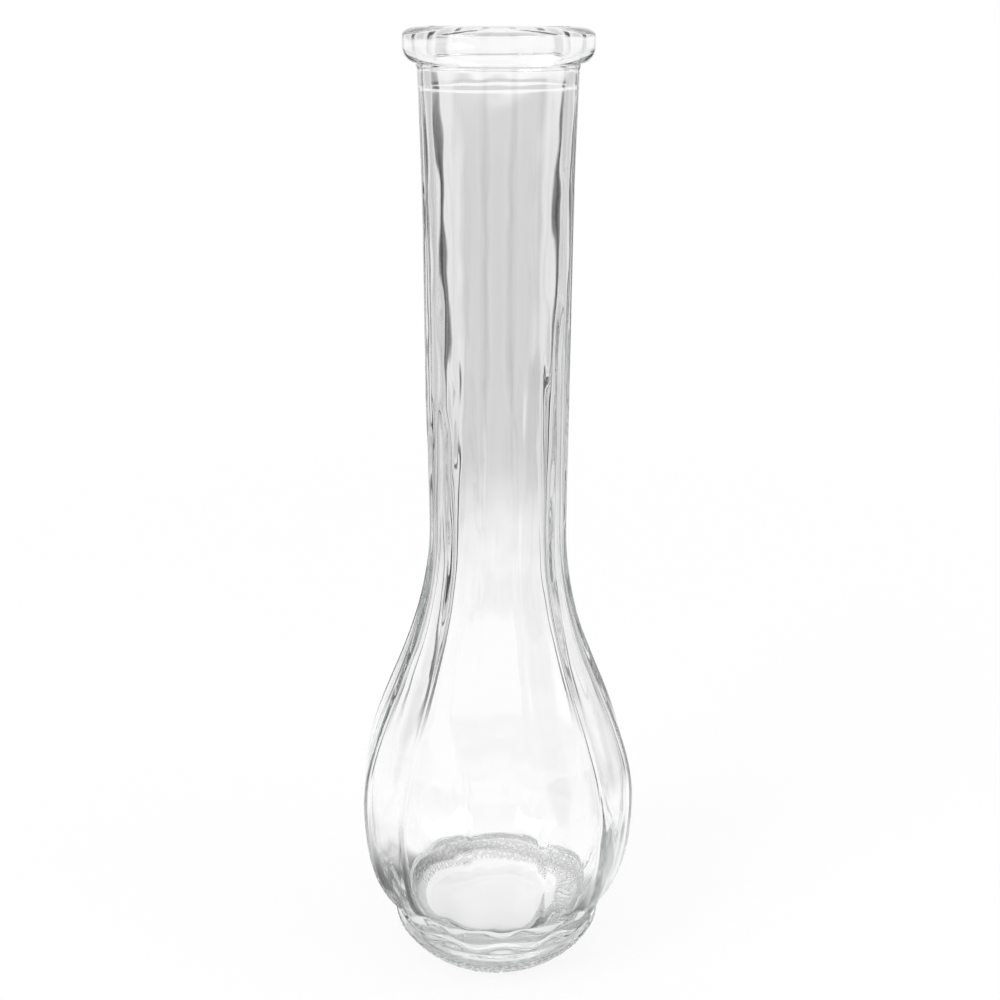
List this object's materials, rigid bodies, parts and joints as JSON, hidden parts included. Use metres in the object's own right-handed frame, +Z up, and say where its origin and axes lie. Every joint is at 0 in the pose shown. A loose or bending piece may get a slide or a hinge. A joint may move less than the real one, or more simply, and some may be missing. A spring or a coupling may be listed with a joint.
{
  "type": "bud vase",
  "caption": "Clear moulded glass bud vase with a rounded foot, a fluted bowl, a long slim neck and a heavy bead round its mouth, to hold a stem or a few flowers in water.",
  "frame": {"origin": "centre of the bearing ring, on the surface that the vase stands on", "axes": "+Z up along the axis of the vase; one flute of the bowl faces -Y"},
  "size_m": [0.0658, 0.0658, 0.222],
  "materials": {
    "clear_glass": "fire-polished, clear"
  },
  "bodies": {
    "root": {"foot": "clear_glass", "bowl": "clear_glass", "shoulder": "clear_glass", "neck": "clear_glass", "rim_bead": "clear_glass"}
  },
  "joints": []
}
